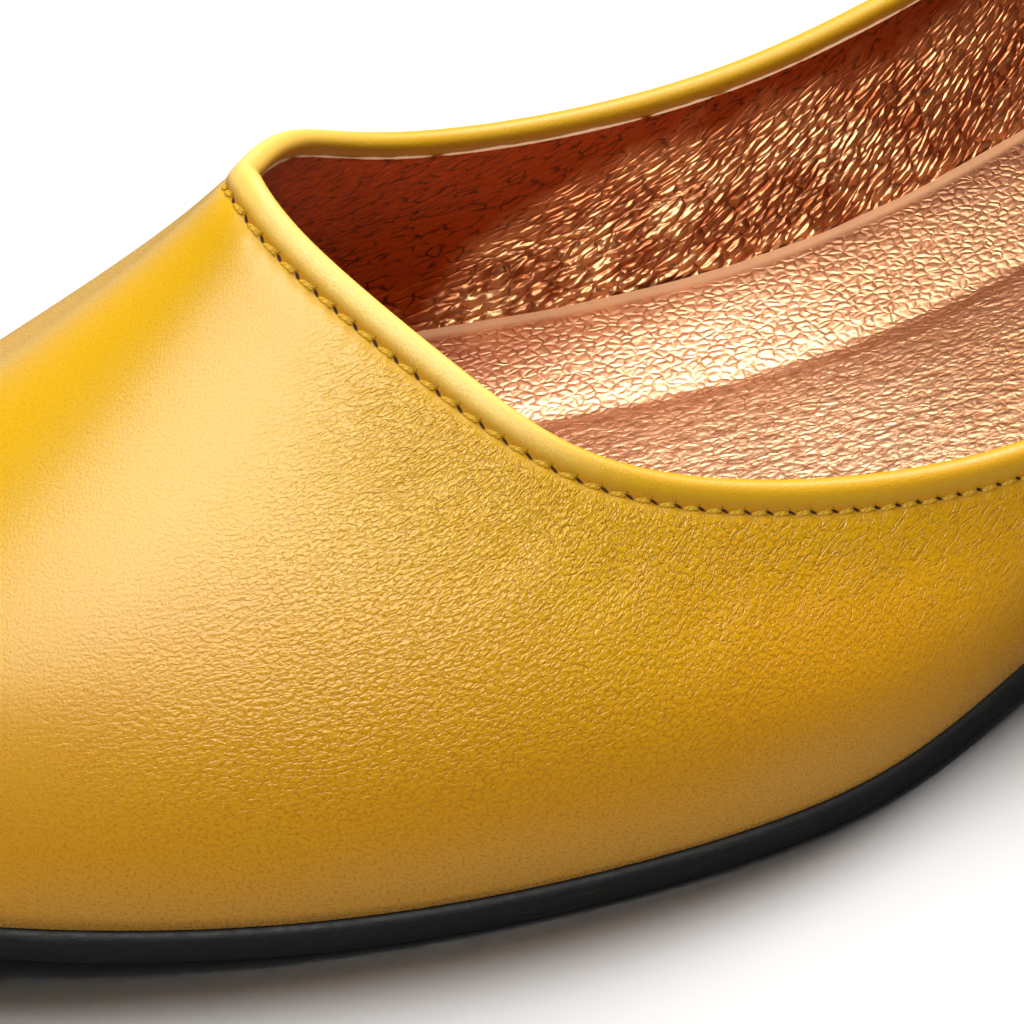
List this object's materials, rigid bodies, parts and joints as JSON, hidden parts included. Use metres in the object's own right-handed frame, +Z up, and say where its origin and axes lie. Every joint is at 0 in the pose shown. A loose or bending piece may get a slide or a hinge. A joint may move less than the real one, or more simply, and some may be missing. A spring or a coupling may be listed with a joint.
{
  "type": "ballet flat",
  "caption": "Low slip-on ballet flat for the left foot: smooth leather upper with a folded, stitched topline, metallic lining, padded insole and a thin rubber sole with a low heel.",
  "frame": {"origin": "on the floor, under the middle of the shoe's bounding box", "axes": "+X towards the toe, +Y towards the outer side of the foot, +Z up"},
  "size_m": [0.2482, 0.0832, 0.058],
  "materials": {
    "upper_leather": "satin mustard grain leather",
    "sole_rubber": "matte black rubber",
    "copper_sock": "crackled metallic copper leather"
  },
  "bodies": {
    "root": {"upper": "upper_leather", "outsole": "sole_rubber", "insole": "copper_sock"}
  },
  "joints": []
}
